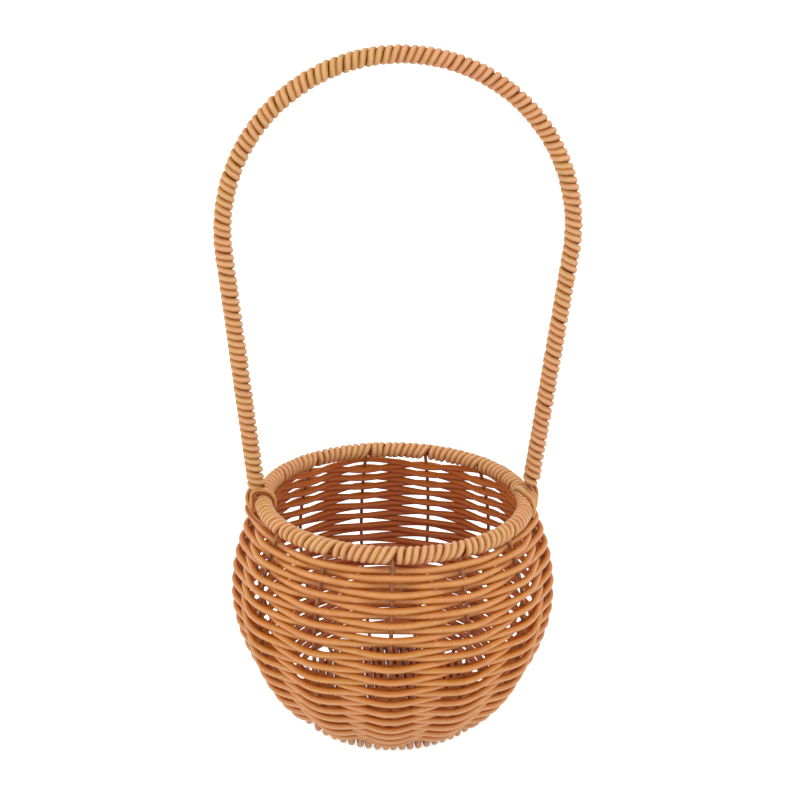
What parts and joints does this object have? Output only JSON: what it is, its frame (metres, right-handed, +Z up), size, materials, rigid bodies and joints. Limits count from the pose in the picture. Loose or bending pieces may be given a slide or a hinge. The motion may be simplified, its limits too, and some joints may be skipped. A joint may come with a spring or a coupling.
{
  "type": "woven basket",
  "caption": "Small round-bellied woven basket with a tall fixed hoop handle, open between its rows, for holding and carrying light things.",
  "frame": {"origin": "on the table, under the middle of the basket", "axes": "+Z up, the handle stands in the XZ plane, and +Y points away from the side that the picture shows"},
  "size_m": [0.144, 0.1345, 0.2792],
  "materials": {
    "weave_strand": "satin extruded plastic strand, honey brown",
    "wrap_strand": "satin extruded plastic strand, a little yellower than the weave",
    "frame_wire": "satin red-brown coating"
  },
  "bodies": {
    "root": {"base_ring": "frame_wire", "rim_ring": "frame_wire", "stake_01": "frame_wire", "stake_02": "frame_wire", "stake_03": "frame_wire", "stake_04": "frame_wire", "stake_05": "frame_wire", "stake_06": "frame_wire", "stake_07": "frame_wire", "stake_08": "frame_wire", "stake_09": "frame_wire", "stake_10": "frame_wire", "stake_11": "frame_wire", "stake_12": "frame_wire", "stake_13": "frame_wire", "weaver_1": "weave_strand", "weaver_2": "weave_strand", "weaver_3": "weave_strand", "weaver_4": "weave_strand", "weaver_5": "weave_strand", "weaver_6": "weave_strand", "base_winding": "wrap_strand", "handle_core": "frame_wire", "handle_wrap": "wrap_strand", "rim_wrap": "wrap_strand", "lashing_right": "wrap_strand", "lashing_left": "wrap_strand"}
  },
  "joints": []
}
